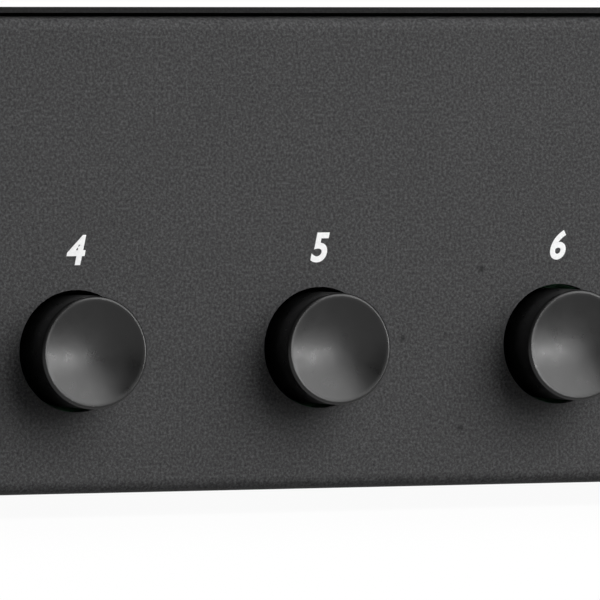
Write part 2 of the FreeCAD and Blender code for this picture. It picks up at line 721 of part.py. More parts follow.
def make_header(name, across):
    """Open-mouthed shroud with four square holes for its pins."""
    body = new_body(f"{name}_header", across, REAR_FACE, BOARD_TOP)
    outer = draw(body, "XZ", HEADER_BACK)
    rectangle(outer, -d.header_width / 2, d.header_width / 2, 0, d.header_height)
    pad(body, outer, d.header_length)
    mouth = draw(body, "XZ", d.header_out)
    reach = d.header_width / 2 - d.header_wall
    rectangle(mouth, -reach, reach, d.header_wall, d.header_height - d.header_wall)
    pocket(body, mouth, d.header_length - d.header_back_wall, backwards=True)
    hole = draw(body, "XZ", HEADER_BACK)
    half = d.header_pin / 2
    rectangle(hole, POLE_START - half, POLE_START + half, PIN_RISE - half, PIN_RISE + half)
    first = pocket(body, hole, d.header_back_wall)
    row(body, first, d.pole_count, d.pole_pitch)


def make_header_pins():
    """Bent square pins of all seven headers, from the plug's sockets down through the board."""
    body = new_body("header_pins", 0, REAR_FACE, BOARD_TOP)
    half = d.header_pin / 2
    tip = -2 * d.plug_gap
    heel = HEADER_BACK - d.header_pin
    foot = -d.board_thickness - d.pin_tail
    for across in (d.input_across, d.output_across):
        sketch = draw(body, "YZ", across + POLE_START)
        outline(sketch, [
            (tip, PIN_RISE - half), (tip, PIN_RISE + half), (heel, PIN_RISE + half),
            (heel, foot), (heel + d.header_pin, foot), (heel + d.header_pin, PIN_RISE - half)])
        pin = pad(body, sketch, d.header_pin, both_ways=True)
        if across is d.output_across:
            rows = (d.button_count, d.output_pitch, "X")
            row(body, pin, d.pole_count, d.pole_pitch, "X", rows)
        else:
            row(body, pin, d.pole_count, d.pole_pitch)


def make_plug(name, across):
    """Pull-off plug: a nose with four sockets, wire entries behind and screw wells on top."""
    body = new_body(f"{name}_plug", across, REAR_FACE, BOARD_TOP)
    nose_low = d.header_wall + d.plug_clearance
    nose_high = d.header_height - d.header_wall - d.plug_clearance
    nose_tip = HEADER_BACK + d.header_back_wall + d.plug_gap
    lean = d.plug_height - d.plug_shoulder
    side = draw(body, "YZ")
    outline(side, [
        (d.plug_gap, -d.plug_drop), (d.plug_out, -d.plug_drop), (d.plug_out, d.plug_shoulder),
        (d.plug_out - lean / 2, d.plug_height), (2 * d.plug_gap, d.plug_height),
        (d.plug_gap, d.plug_height - d.plug_gap)])
    pad(body, side, d.plug_width, both_ways=True)
    nose = draw(body, "XZ", nose_tip)
    reach = d.header_width / 2 - d.header_wall - d.plug_clearance
    rectangle(nose, -reach, reach, nose_low, nose_high)
    pad(body, nose, d.plug_gap - nose_tip)

    socket = draw(body, "XZ", nose_tip)
    half = d.header_pin / 2 + d.plug_clearance
    rectangle(socket, POLE_START - half, POLE_START + half, PIN_RISE - half, PIN_RISE + half)
    first = pocket(body, socket, -nose_tip - d.plug_gap)
    row(body, first, d.pole_count, d.pole_pitch)

    entry = draw(body, "XZ", d.plug_out)
    rectangle(entry, POLE_START - d.wire_entry_width / 2, POLE_START + d.wire_entry_width / 2,
              PIN_RISE - d.wire_entry_height / 2, PIN_RISE + d.wire_entry_height / 2)
    first = pocket(body, entry, d.wire_entry_depth, backwards=True)
    row(body, first, d.pole_count, d.pole_pitch)

    well = draw(body, "XY", d.plug_height)
    half = d.well_size / 2
    rectangle(well, POLE_START - half, POLE_START + half,
              well_centre() - half, well_centre() + half)
    first = pocket(body, well, d.well_depth, backwards=True)
    row(body, first, d.pole_count, d.pole_pitch)

    groove = draw(body, "XZ", d.plug_out)
    middle = POLE_START + d.pole_pitch / 2
    rectangle(groove, middle - d.plug_groove / 2, middle + d.plug_groove / 2,
              -d.plug_drop, d.plug_shoulder - d.plug_groove)
    first = pocket(body, groove, d.plug_groove, backwards=True)
    row(body, first, d.pole_count - 1, d.pole_pitch)


def well_centre():
    """Screw wells lie in the middle of the plug's flat top."""
    lean = d.plug_height - d.plug_shoulder
    return (d.plug_out - lean / 2 + 2 * d.plug_gap) / 2


def make_plug_screws(name, across):
    body = new_body(f"{name}_plug_screws", across, REAR_FACE, BOARD_TOP)
    sketch = draw(body, "XY", d.plug_height - d.well_depth)
    many_sided(sketch, POLE_START, well_centre(), d.clamp_screw_radius, SCREW_SIDES)
    screw = pad(body, sketch, d.clamp_screw_height)
    row(body, screw, d.pole_count, d.pole_pitch)


# Protection slide switch and its resistors.

def make_guard_body():
    body = new_body("protection_switch_body", d.guard_across, REAR_FACE, BOARD_TOP)
    front = -d.chassis_sheet - d.guard_gap
    outer = draw(body, "XZ", front - d.guard_length)
    rectangle(outer, -d.guard_width / 2, d.guard_width / 2, 0, d.guard_height)
    pad(body, outer, d.guard_length)
    slot = draw(body, "XZ", front)
    reach = d.guard_travel / 2 + d.guard_knob / 2 + d.slide_clearance
    half = d.guard_knob / 2 + d.slide_clearance
    middle = d.guard_height / 2
    rectangle(slot, -reach, reach, middle - half, middle + half)
    pocket(body, slot, d.guard_slot_depth, backwards=True)


def make_guard_knob():
    """Ribbed square knob, at rest at the left end of its slot seen from the front."""
    body = new_body("protection_slider", d.guard_across - d.guard_travel / 2, REAR_FACE,
                    BOARD_TOP + d.guard_height / 2)
    start = -d.chassis_sheet - d.guard_gap - d.guard_slot_depth + d.slide_clearance
    half = d.guard_knob / 2
    sketch = draw(body, "XZ", start)
    rectangle(sketch, -half, half, -half, half)
    pad(body, sketch, d.guard_knob_out - start)
    rib = d.guard_knob / 9
    grooves = draw(body, "XZ", d.guard_knob_out)
    for step in (-3, 0, 3):
        rectangle(grooves, (step - 0.5) * rib, (step + 0.5) * rib, -half, half)
    pocket(body, grooves, rib, backwards=True)


def make_resistors():
    """Four ceramic power resistors on bent leads, in a row along the board."""
    start = -d.resistor_pitch * (d.resistor_count - 1) / 2
    body = new_body("protection_resistors", start, FRONT_FACE + d.resistor_behind, BOARD_TOP)
    half, across = d.resistor_size / 2, d.resistor_length / 2
    low, high = d.resistor_lift, d.resistor_lift + d.resistor_size
    block = draw(body, "XZ", -half)
    rectangle(block, -across, across, low, high)
    ceramic = pad(body, block, d.resistor_size)
    row(body, ceramic, d.resistor_count, d.resistor_pitch)
    middle = (low + high) / 2
    reach = across + 3 * d.resistor_lead
    leads = draw(body, "XZ", -d.resistor_lead / 2)
    for side in (-1, 1):
        outline(leads, [
            (side * across, middle + d.resistor_lead), (side * reach, middle + d.resistor_lead),
            (side * reach, 0), (side * (reach - d.resistor_lead), 0),
            (side * (reach - d.resistor_lead), middle), (side * across, middle)])
    wires = pad(body, leads, d.resistor_lead)
    row(body, wires, d.resistor_count, d.resistor_pitch)


# Build, test and write.

def check_features():
    """Stop if a feature failed, or if a cut took nothing away."""
    for thing in doc.Objects:
        if "Invalid" in thing.State or "Error" in thing.State:
            raise RuntimeError(f"{thing.Name} failed: {thing.State}")
        if thing.TypeId == "PartDesign::Pocket":
            if thing.Shape.Volume > thing.BaseFeature.Shape.Volume - 1e-3:
                raise RuntimeError(f"{thing.Name} cuts nothing")


def write_parts():
    """Write each sub-part to its own file, and print its solids and volume."""
    os.makedirs("parts", exist_ok=True)
    for part in sub_parts:
        if part.Shape.isNull() or not part.Shape.isValid():
            raise RuntimeError(f"{part.Label} has no valid shape")
    for part in sub_parts:
        part.Shape.exportStep(f"parts/{part.Label}.step")
        print(f"{part.Label}: {len(part.Shape.Solids)} solid(s), {part.Shape.Volume:.1f} mm3")


def main():
    make_chassis()
    make_cover()
    make_cover_screws()
    make_rubber_feet()
    make_board()
    make_standoffs()
    make_board_screws()
    for index in BUTTONS:
        make_cap(index)
        make_plunger(index)
        make_housing(index)
        make_spring(index)
    make_latch_pins()
    make_switch_pins()
    for name, across in terminal_places():
        make_header(name, across)
        make_plug(name, across)
        make_plug_screws(name, across)
    make_header_pins()
    make_guard_body()
    make_guard_knob()
    make_resistors()
    doc.recompute()
    check_features()
    write_parts()


main()
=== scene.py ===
import json
import math

import bmesh
import bpy
from mathutils import Matrix, Vector


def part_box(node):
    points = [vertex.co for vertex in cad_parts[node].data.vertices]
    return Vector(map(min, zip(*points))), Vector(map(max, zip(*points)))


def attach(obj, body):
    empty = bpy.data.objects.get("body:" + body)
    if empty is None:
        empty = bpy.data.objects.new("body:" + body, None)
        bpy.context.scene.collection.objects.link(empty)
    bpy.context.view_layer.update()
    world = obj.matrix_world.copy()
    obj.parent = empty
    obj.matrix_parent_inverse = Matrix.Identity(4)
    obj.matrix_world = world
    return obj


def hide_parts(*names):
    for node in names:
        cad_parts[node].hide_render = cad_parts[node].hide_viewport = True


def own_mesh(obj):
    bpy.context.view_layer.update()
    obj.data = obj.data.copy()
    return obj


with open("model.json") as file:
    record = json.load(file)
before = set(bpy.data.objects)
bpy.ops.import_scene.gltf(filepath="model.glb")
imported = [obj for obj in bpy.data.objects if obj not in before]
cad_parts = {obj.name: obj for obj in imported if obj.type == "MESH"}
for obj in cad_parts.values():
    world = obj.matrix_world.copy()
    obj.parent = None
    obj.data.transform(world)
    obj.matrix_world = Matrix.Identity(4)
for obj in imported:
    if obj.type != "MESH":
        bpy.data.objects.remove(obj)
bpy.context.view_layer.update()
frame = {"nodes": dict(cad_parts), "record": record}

MM = 0.001
BUTTONS = range(1, 7)
TERMINALS = ["input"] + [f"zone_{i}" for i in BUTTONS]
POLES = 4
POLE_PITCH = 5.08 * MM


# Places read from the frame.

def corners(node):
    """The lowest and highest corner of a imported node's box."""
    low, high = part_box(node)
    return Vector(low), Vector(high)


def middle(node):
    """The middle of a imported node's box."""
    low, high = corners(node)
    return (low + high) / 2


chassis_low, chassis_high = corners("chassis")
FRONT = chassis_low.y
REAR = chassis_high.y
FLOOR_UNDERSIDE = chassis_low.z


# Materials.

class Paint:
    """A principled material with helpers for procedural colour, roughness and bump."""

    def __init__(self, name, roughness=0.5, metallic=0.0, ior=1.5, coat=0.0):
        self.material = bpy.data.materials.new(name)
        self.material.use_nodes = True
        self.nodes = self.material.node_tree.nodes
        self.links = self.material.node_tree.links
        self.shader = self.nodes["Principled BSDF"]
        self.shader.inputs["Roughness"].default_value = roughness
        self.shader.inputs["Metallic"].default_value = metallic
        self.shader.inputs["IOR"].default_value = ior
        self.shader.inputs["Coat Weight"].default_value = coat
        self.place = self.nodes.new("ShaderNodeTexCoord").outputs["Object"]

    def noise(self, size_mm, detail=2.0, roughness=0.5, stretch=None):
        """Noise whose features are about size_mm across; stretch scales its axes."""
        place = self.place
        if stretch:
            mapping = self.nodes.new("ShaderNodeMapping")
            mapping.inputs["Scale"].default_value = stretch
            self.links.new(place, mapping.inputs["Vector"])
            place = mapping.outputs["Vector"]
        texture = self.nodes.new("ShaderNodeTexNoise")
        texture.inputs["Scale"].default_value = 1 / (size_mm * MM)
        texture.inputs["Detail"].default_value = detail
        texture.inputs["Roughness"].default_value = roughness
        self.links.new(place, texture.inputs["Vector"])
        return texture.outputs["Fac"]

    def ramp(self, value, stops):
        """Colours along a value; each stop is a place from 0 to 1 and a grey or a colour."""
        node = self.nodes.new("ShaderNodeValToRGB")
        while len(node.color_ramp.elements) < len(stops):
            node.color_ramp.elements.new(0.5)
        for element, (where, colour) in zip(node.color_ramp.elements, stops):
            element.position = where
            if not isinstance(colour, tuple):
                colour = (colour, colour, colour)
            element.color = (*colour, 1)
        self.links.new(value, node.inputs["Fac"])
        return node.outputs["Color"]

    def multiply(self, first, second):
        """The product of two colours."""
        node = self.nodes.new("ShaderNodeMix")
        node.data_type = "RGBA"
        node.blend_type = "MULTIPLY"
        node.inputs["Factor"].default_value = 1
        self.links.new(first, node.inputs[6])
        self.links.new(second, node.inputs[7])
        return node.outputs[2]

    def facing_along(self, axis):
        """How squarely the surface faces an axis, from 0 to 1."""
        split = self.nodes.new("ShaderNodeSeparateXYZ")
        size = self.nodes.new("ShaderNodeMath")
        size.operation = "ABSOLUTE"
        normal = self.nodes.new("ShaderNodeTexCoord").outputs["Normal"]
        self.links.new(normal, split.inputs["Vector"])
        self.links.new(split.outputs[axis], size.inputs[0])
        return size.outputs[0]

    def colour(self, value):
        """Use a value as the surface's colour."""
        self.links.new(value, self.shader.inputs["Base Color"])

    def rough(self, value, low, high):
        """Let the roughness follow a value, from low to high."""
        gloss = self.ramp(value, [(0.3, low), (0.7, high)])
        self.links.new(gloss, self.shader.inputs["Roughness"])

    def bump(self, value, height_mm, strength):
        """Relief of a given height that follows a value."""
        node = self.nodes.new("ShaderNodeBump")
        node.inputs["Strength"].default_value = strength
        node.inputs["Distance"].default_value = height_mm * MM
        self.links.new(value, node.inputs["Height"])
        self.links.new(node.outputs["Normal"], self.shader.inputs["Normal"])


PAINT_GRAIN_MM = 0.28
PAINT_CLOUD_MM = 9.0
PAINT_PIT_MM = 2.4
PAINT_COLOURS = [(0.30, (0.022, 0.022, 0.023)), (0.50, (0.056, 0.056, 0.057)),
                 (0.70, (0.108, 0.108, 0.110))]
PAINT_RELIEF_MM = 0.04

# How much of the colour stays on the cover's edges facing along Y: painted shade that darkens its
# front and rear edges.
EDGE_SHADE_LEVEL = 0.22


def textured_paint(name, shaded_edges=False):
    """Fine-grained dark grey powder coat with rare darker pits, and, when asked, painted shade on
    edges facing along Y.
    """
    paint = Paint(name, roughness=0.62, ior=1.38)
    paint.shader.inputs["Specular IOR Level"].default_value = 0.12
    grain = paint.noise(PAINT_GRAIN_MM, detail=4, roughness=0.65)
    cloud = paint.noise(PAINT_CLOUD_MM, detail=3, roughness=0.55)
    fine = paint.ramp(grain, PAINT_COLOURS)
    soft = paint.ramp(cloud, [(0.30, 0.93), (0.70, 1.0)])
    pits = paint.ramp(paint.noise(PAINT_PIT_MM, detail=1), [(0.18, 0.45), (0.235, 1.0)])
    colour = paint.multiply(paint.multiply(fine, soft), pits)
    if shaded_edges:
        # Painted shade: faces along Y, the cover's front and rear edges, are darkened to stand for
        # the shade in the gap under the cover's front edge.
        edges = paint.ramp(paint.facing_along("Y"), [(0.6, 1.0), (0.9, EDGE_SHADE_LEVEL)])
        colour = paint.multiply(colour, edges)
    paint.colour(colour)
    paint.rough(grain, 0.52, 0.72)
    paint.bump(grain, PAINT_RELIEF_MM, 0.5)
    return paint.material


def plastic(name, dark, light, grain_mm, rough, bump_mm, ior=1.5):
    """Moulded plastic: near-even colour, faint moulding grain and a slightly uneven gloss."""
    paint = Paint(name, ior=ior)
    cloud = paint.noise(grain_mm * 12, detail=2)
    grain = paint.noise(grain_mm, detail=3)
    paint.colour(paint.ramp(cloud, [(0.3, dark), (0.7, light)]))
    paint.rough(paint.noise(grain_mm * 4, detail=3), rough * 0.88, rough * 1.12)
    paint.bump(grain, bump_mm, 0.5)
    return paint.material


def metal(name, dark, light, rough, stretch):
    """Plated or drawn metal with fine lines along one axis."""
    paint = Paint(name, metallic=1.0)
    lines = paint.noise(0.5, detail=3, stretch=stretch)
    paint.colour(paint.ramp(lines, [(0.3, dark), (0.7, light)]))
    paint.rough(lines, rough * 0.8, rough * 1.25)
    paint.bump(lines, 0.01, 0.4)
    return paint.material


def board_laminate():
    """Green solder mask over a faint glass weave."""
    paint = Paint("board_laminate", roughness=0.35, coat=0.3)
    weave = paint.noise(0.8, detail=1, stretch=(1, 4, 1))
    paint.colour(paint.ramp(weave, [(0.3, (0.02, 0.12, 0.045)), (0.7, (0.03, 0.17, 0.06))]))
    paint.bump(weave, 0.02, 0.4)
    return paint.material


def ink(name, level):
    """Screen-printed ink, slightly uneven."""
    paint = Paint(name, roughness=0.55)
    cover = paint.noise(0.25, detail=2)
    paint.colour(paint.ramp(cover, [(0.3, level * 0.9), (0.7, level)]))
    paint.bump(cover, 0.01, 0.4)
    return paint.material


def make_materials():
    """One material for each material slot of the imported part."""
    return {
        "textured_paint": textured_paint("textured_paint"),
        "screw_black": plastic("screw_black", 0.010, 0.018, 0.3, 0.34, 0.01),
        "foot_rubber": plastic("foot_rubber", 0.016, 0.026, 0.5, 0.78, 0.05),
        "board_laminate": board_laminate(),
        "plated_steel": metal("plated_steel", (0.50, 0.49, 0.46), (0.68, 0.67, 0.63), 0.3, (1, 1, 4)),
        "cap_plastic": plastic("cap_plastic", 0.003, 0.005, 0.35, 0.30, 0.003, ior=1.4),
        "plunger_plastic": plastic("plunger_plastic", (0.60, 0.59, 0.55), (0.68, 0.67, 0.63),
                                   0.5, 0.5, 0.02),
        "housing_plastic": plastic("housing_plastic", 0.014, 0.022, 0.4, 0.55, 0.02),
        "spring_steel": metal("spring_steel", (0.45, 0.45, 0.45), (0.6, 0.6, 0.6), 0.28, (4, 1, 1)),
        "terminal_plastic": plastic("terminal_plastic", (0.010, 0.110, 0.035),
                                    (0.016, 0.145, 0.048), 0.4, 0.45, 0.02),
        "resistor_ceramic": plastic("resistor_ceramic", (0.62, 0.61, 0.56), (0.72, 0.71, 0.66),
                                    0.35, 0.85, 0.06),
    }


def paint_nodes(made):
    """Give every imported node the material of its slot."""
    for part in frame["record"]["subparts"]:
        piece = frame["nodes"][part["node"]]
        piece.data.materials.clear()
        piece.data.materials.append(made[part["material_slot"]])
    # The cover's paint darkens its edges facing along Y as painted shade.
    frame["nodes"]["cover"].data.materials[0] = textured_paint("cover_paint", shaded_edges=True)


# Pieces.

def add_mesh(name, mesh_data, material, body, smooth=True):
    """A new object from a bmesh, riding on a body."""
    mesh = bpy.data.meshes.new(name)
    bmesh.ops.recalc_face_normals(mesh_data, faces=mesh_data.faces)
    mesh_data.to_mesh(mesh)
    mesh_data.free()
    for polygon in mesh.polygons:
        polygon.use_smooth = smooth
    mesh.materials.append(material)
    piece = bpy.data.objects.new(name, mesh)
    bpy.context.scene.collection.objects.link(piece)
    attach(piece, body)
    return piece


def revolve(profile, centre, steps):
    """A closed surface from radius and depth pairs, turned about an axis along Y."""
    mesh_data = bmesh.new()
    rings = []
    for radius, depth in profile:
        if radius == 0:
            rings.append([mesh_data.verts.new(centre + Vector((0, depth, 0)))])
            continue
        ring = []
        for step in range(steps):
            angle = 2 * math.pi * step / steps
            spot = Vector((radius * math.cos(angle), depth, radius * math.sin(angle)))
            ring.append(mesh_data.verts.new(centre + spot))
        rings.append(ring)
    for before, after in zip(rings, rings[1:]):
        for step in range(steps):
            following = (step + 1) % steps
            if len(before) == 1:
                mesh_data.faces.new((before[0], after[step], after[following]))
            elif len(after) == 1:
                mesh_data.faces.new((before[step], after[0], before[following]))
            else:
                mesh_data.faces.new((before[step], after[step], after[following],
                                     before[following]))
    return mesh_data


CAP_DISH = 0.8 * MM
CAP_RIM = 0.35 * MM
CAP_STEPS = 96
DISH_STEPS = 16
RIM_STEPS = 6


def cap_profile(radius, front, back):
    """The cap's half section: a spherical dish, a rounded rim, the side and the back."""
    dish = radius - CAP_RIM
    curve = (dish ** 2 + CAP_DISH ** 2) / (2 * CAP_DISH)
    points = []
    for step in range(DISH_STEPS + 1):
        r = dish * step / DISH_STEPS
        points.append((r, front + CAP_DISH - (curve - math.sqrt(curve ** 2 - r ** 2))))
    for step in range(1, RIM_STEPS + 1):
        angle = math.pi / 2 * step / RIM_STEPS
        out = CAP_RIM * math.sin(angle)
        points.append((dish + out, front + CAP_RIM - CAP_RIM * math.cos(angle)))
    edge = CAP_RIM / 2
    points += [(radius, front + CAP_RIM + edge), (radius, back - edge), (radius - edge, back),
               (0, back)]
    return points


def make_caps(made):
    """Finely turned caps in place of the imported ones."""
    for index in BUTTONS:
        node = f"button_cap_{index}"
        low, high = corners(node)
        centre = middle(node)
        centre.y = 0
        radius = (high.z - low.z) / 2
        turned = revolve(cap_profile(radius, low.y, high.y), centre, CAP_STEPS)
        piece = add_mesh(f"turned_cap_{index}", turned, made["cap_plastic"], f"button_{index}")
        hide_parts(node)


INK_THICKNESS = 0.004
PRINT_LIFT = 0.002 * MM


def add_text(name, text, spot, height, made_ink, facing="front", lean=0.0, narrow=1.0, bold=0.0):
    """Printed lettering as a thin mesh on the front panel or on the rear wall."""
    curve = bpy.data.curves.new(name, "FONT")
    curve.body = text
    curve.align_x = "CENTER"
    curve.align_y = "CENTER"
    curve.size = 1.0
    curve.shear = lean
    curve.offset = bold
    curve.extrude = INK_THICKNESS
    holder = bpy.data.objects.new(name + "_text", curve)
    bpy.context.scene.collection.objects.link(holder)
    bpy.context.view_layer.update()
    mesh = bpy.data.meshes.new_from_object(holder)
    bpy.data.objects.remove(holder)
    mesh.name = name
    lows = [min(v.co[axis] for v in mesh.vertices) for axis in range(3)]
    highs = [max(v.co[axis] for v in mesh.vertices) for axis in range(3)]
    scale = height / (highs[1] - lows[1])
    shift = Vector((-(lows[0] + highs[0]) / 2, -(lows[1] + highs[1]) / 2, -lows[2]))
    mesh.transform(Matrix.Translation(shift))
    mesh.transform(Matrix.Diagonal((scale * narrow, scale, scale, 1)))
    turned = Matrix.Rotation(math.pi / 2, 4, "X")
    if facing == "rear":
        turned = Matrix.Rotation(math.pi, 4, "Z") @ turned
    mesh.transform(Matrix.Translation(spot) @ turned)
    mesh.materials.append(made_ink)
    piece = bpy.data.objects.new(name, mesh)
    bpy.context.scene.collection.objects.link(piece)
    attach(piece, "enclosure")


# The figures' middle over the box's underside, their height and their style.
DIGIT_RISE = 25.08 * MM
DIGIT_HEIGHT = 3.1 * MM
DIGIT_STYLE = {"lean": 0.24, "narrow": 0.92, "bold": 0.03}


def make_digits():
    """Zone numbers over the buttons, in bold leaning figures."""
    white = ink("panel_ink", 0.97)
    for index in BUTTONS:
        x = middle(f"button_cap_{index}").x
        spot = Vector((x, FRONT - PRINT_LIFT, FLOOR_UNDERSIDE + DIGIT_RISE))
        add_text(f"digit_{index}", str(index), spot, DIGIT_HEIGHT, white, **DIGIT_STYLE)


# How far the rear labels and the pole marks stand over the plugs, and their heights.
LABEL_RISE = 7.2 * MM
LABEL_HEIGHT = 3.0 * MM
MARK_RISE = 2.0 * MM
MARK_HEIGHTS = {"+": 1.5 * MM, "-": 0.3 * MM}


def make_rear_print():
    """Plain marks over the terminals: IN or the zone number, and the poles."""
    white = ink("rear_ink", 0.85)
    y = REAR + PRINT_LIFT
    for name in TERMINALS:
        x = middle(f"{name}_plug").x
        top = corners(f"{name}_plug")[1].z
        label = "IN" if name == "input" else name[-1]
        add_text(f"rear_{name}", label, Vector((x, y, top + LABEL_RISE)), LABEL_HEIGHT, white,
                 "rear", bold=0.02)
        for step in range(POLES):
            mark = "+-"[step % 2]
            across = ((POLES - 1) / 2 - step) * POLE_PITCH
            spot = Vector((x + across, y, top + MARK_RISE))
            add_text(f"pole_{name}_{step}", mark, spot, MARK_HEIGHTS[mark], white, "rear")


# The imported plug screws' sides, and the round ones' share of the circle round them.
PLUG_SCREW_SIDES = 8
PLUG_SCREW_SHARE = 0.98
PLUG_SCREW_STEPS = 24

# The slot's half width and depth as shares of the screw's radius.
SLOT_HALF = 0.17
SLOT_DEPTH = 0.4


def make_plug_screws(made):
    """Round slotted screws in the plugs' wells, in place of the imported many-sided ones."""
    for name in TERMINALS:
        node = f"{name}_plug_screws"
        low, high = corners(node)
        reach = (high.y - low.y) / 2
        radius = reach / math.cos(math.pi / PLUG_SCREW_SIDES) * PLUG_SCREW_SHARE
        mesh_data = bmesh.new()
        for step in range(POLES):
            centre = Vector((low.x + reach + step * POLE_PITCH, (low.y + high.y) / 2, 0))
            slotted_disc(mesh_data, centre, radius, low.z, high.z)
        piece = add_mesh(f"slotted_{node}", mesh_data, made["plated_steel"],
                         f"{name}_connector", smooth=False)
        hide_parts(node)


def slotted_disc(mesh_data, centre, radius, low, high):
    """Two half discs with a sunken slot between them, on a common base."""
    half = PLUG_SCREW_STEPS // 2
    floor = high - radius * SLOT_DEPTH
    start = math.asin(SLOT_HALF)
    for side in (-1, 1):
        ring = []
        for step in range(half + 1):
            angle = start + (math.pi - 2 * start) * step / half
            ring.append(centre + around(radius, angle, side))
        prism(mesh_data, ring, floor, high)
    base = []
    for step in range(PLUG_SCREW_STEPS):
        base.append(centre + around(radius, 2 * math.pi * step / PLUG_SCREW_STEPS))
    prism(mesh_data, base, low, floor)


def around(radius, angle, side=1):
    """A point on a level circle; side -1 mirrors it in Y."""
    return Vector((radius * math.cos(angle), side * radius * math.sin(angle), 0))


def prism(mesh_data, ring, low, high):
    """A closed upright prism over a ring of points."""
    bottom = [mesh_data.verts.new((p.x, p.y, low)) for p in ring]
    top = [mesh_data.verts.new((p.x, p.y, high)) for p in ring]
    mesh_data.faces.new(bottom)
    mesh_data.faces.new(top)
    for place in range(len(ring)):
        following = (place + 1) % len(ring)
        mesh_data.faces.new((bottom[place], bottom[following], top[following], top[place]))


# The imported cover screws' sides, and the round head's outline: shares of its radius and height.
COVER_SCREW_SIDES = 16
PAN_HEAD = [(1.0, 0.0), (1.0, 0.35), (0.96, 0.6), (0.85, 0.8), (0.62, 0.94), (0.33, 0.99)]
HEAD_STEPS = 40

# The shank in head heights and in shares of the head's radius.
SHANK_LENGTH = 5
SHANK_CHAMFER = 0.3
SHANK_SHARE = 0.5
SHANK_TIP = 0.8

# The cross in shares of the head's radius, and its depth in head heights.
CROSS_REACH = 0.56
CROSS_WIDTH = 0.2
CROSS_DEPTH = 0.6


def make_cover_screws(made):
    """Pan-head screws with crossed recesses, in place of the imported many-sided ones."""
    low, high = corners("cover_screws")
    head_height = high.x - corners("cover")[1].x
    reach = (high.z - low.z) / 2
    radius = reach / math.cos(math.pi / COVER_SCREW_SIDES)
    profile = screw_profile(radius, head_height)
    bar_size = (2 * CROSS_REACH * radius, 2 * CROSS_DEPTH * head_height, CROSS_WIDTH * radius, 1)
    heads = bmesh.new()
    crosses = bmesh.new()
    for side in (-1, 1):
        for y in (low.y + reach, high.y - reach):
            seat = Vector((side * (high.x - head_height), y, (low.z + high.z) / 2))
            turned = Matrix.Translation(seat) @ Matrix.Rotation(-side * math.pi / 2, 4, "Z")
            add_moved(heads, revolve(profile, Vector(), HEAD_STEPS), turned)
            for angle in (math.pi / 4, -math.pi / 4):
                bar = bmesh.new()
                bmesh.ops.create_cube(bar, size=1)
                bar.transform(Matrix.Diagonal(bar_size))
                bar.transform(Matrix.Rotation(angle, 4, "Y"))
                bar.transform(Matrix.Translation((0, head_height, 0)))
                add_moved(crosses, bar, turned)
    piece = add_mesh("pan_head_screws", heads, made["screw_black"], "enclosure", smooth=False)
    cutter = add_mesh("recess_cutter", crosses, made["screw_black"], "enclosure", smooth=False)
    carve(piece, cutter)
    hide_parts("cover_screws")


def screw_profile(radius, head_height):
    """Half section of a pan-head screw, with the head's seat at zero."""
    shank = radius * SHANK_SHARE
    end = -SHANK_LENGTH * head_height
    points = [(0, end), (shank * SHANK_TIP, end), (shank, end + SHANK_CHAMFER * head_height),
              (shank, 0)]
    points += [(share * radius, rise * head_height) for share, rise in PAN_HEAD]
    points.append((0, head_height))
    return points


def add_moved(target, source, matrix):
    """Copy one bmesh into another through a matrix, and free it."""
    source.transform(matrix)
    held = bpy.data.meshes.new("held")
    source.to_mesh(held)
    source.free()
    target.from_mesh(held)
    bpy.data.meshes.remove(held)


def carve(piece, cutter):
    """Cut one object out of another and throw the cutter away."""
    cut = piece.modifiers.new("cut", "BOOLEAN")
    cut.operation = "DIFFERENCE"
    cut.solver = "EXACT"
    cut.use_self = True
    cut.object = cutter
    bpy.context.view_layer.update()
    carved = bpy.data.meshes.new_from_object(
        piece.evaluated_get(bpy.context.evaluated_depsgraph_get()))
    piece.modifiers.remove(cut)
    old = piece.data
    piece.data = carved
    bpy.data.meshes.remove(old)
    bpy.data.objects.remove(cutter)
    for polygon in carved.polygons:
        polygon.use_smooth = False


SPRING_TURNS = 4
SPRING_WIRE = 0.4 * MM
SPRING_RADIUS = 1.8 * MM
TURN_STEPS = 28
WIRE_SIDES = 8


def make_springs(made):
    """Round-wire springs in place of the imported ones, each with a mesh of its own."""
    for index in BUTTONS:
        node = f"return_spring_{index}"
        low, high = corners(node)
        centre = Vector((middle(f"switch_plunger_{index}").x, 0, middle(f"button_cap_{index}").z))
        spiral = wound_wire(centre, low.y + SPRING_WIRE / 2, high.y - SPRING_WIRE / 2)
        piece = add_mesh(f"wound_spring_{index}", spiral, made["spring_steel"], "enclosure")
        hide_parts(node)
        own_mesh(piece)


def wound_wire(centre, start, end):
    """A closed tube of round wire, wound about an axis along Y from start to end."""
    mesh_data = bmesh.new()
    steps = SPRING_TURNS * TURN_STEPS
    rings = []
    for step in range(steps + 1):
        angle = 2 * math.pi * step / TURN_STEPS
        out = Vector((math.cos(angle), 0, math.sin(angle)))
        spot = centre + out * SPRING_RADIUS + Vector((0, start + (end - start) * step / steps, 0))
        ring = []
        for side in range(WIRE_SIDES):
            turn = 2 * math.pi * side / WIRE_SIDES
            offset = out * math.cos(turn) + Vector((0, math.sin(turn), 0))
            ring.append(mesh_data.verts.new(spot + offset * SPRING_WIRE / 2))
        rings.append(ring)
    for before, after in zip(rings, rings[1:]):
        for side in range(WIRE_SIDES):
            following = (side + 1) % WIRE_SIDES
            mesh_data.faces.new((before[side], before[following], after[following], after[side]))
    mesh_data.faces.new(rings[0])
    mesh_data.faces.new(rings[-1])
    return mesh_data


# Stage, lights and camera.

# The camera stands left of the panel's normal, a little above it, with a long lens.
AIM = Vector((middle("button_cap_5").x - 2.26 * MM, FRONT, FLOOR_UNDERSIDE + 19.65 * MM))
CAMERA_AZIMUTH = 23.17
CAMERA_ELEVATION = 1.618
CAMERA_ROLL = -0.076
CAMERA_DISTANCE = 915.1 * MM
CAMERA_LENS = 529.7
SENSOR_WIDTH = 36

# The floor's pale colour as seen, and the duller one that it throws back on the object.
FLOOR_COLOUR = 0.95
FLOOR_BOUNCE = 0.15
FLOOR_GLOW = 0.95
STAGE_HALF = 6.5
WALL_HEIGHT = 3.0


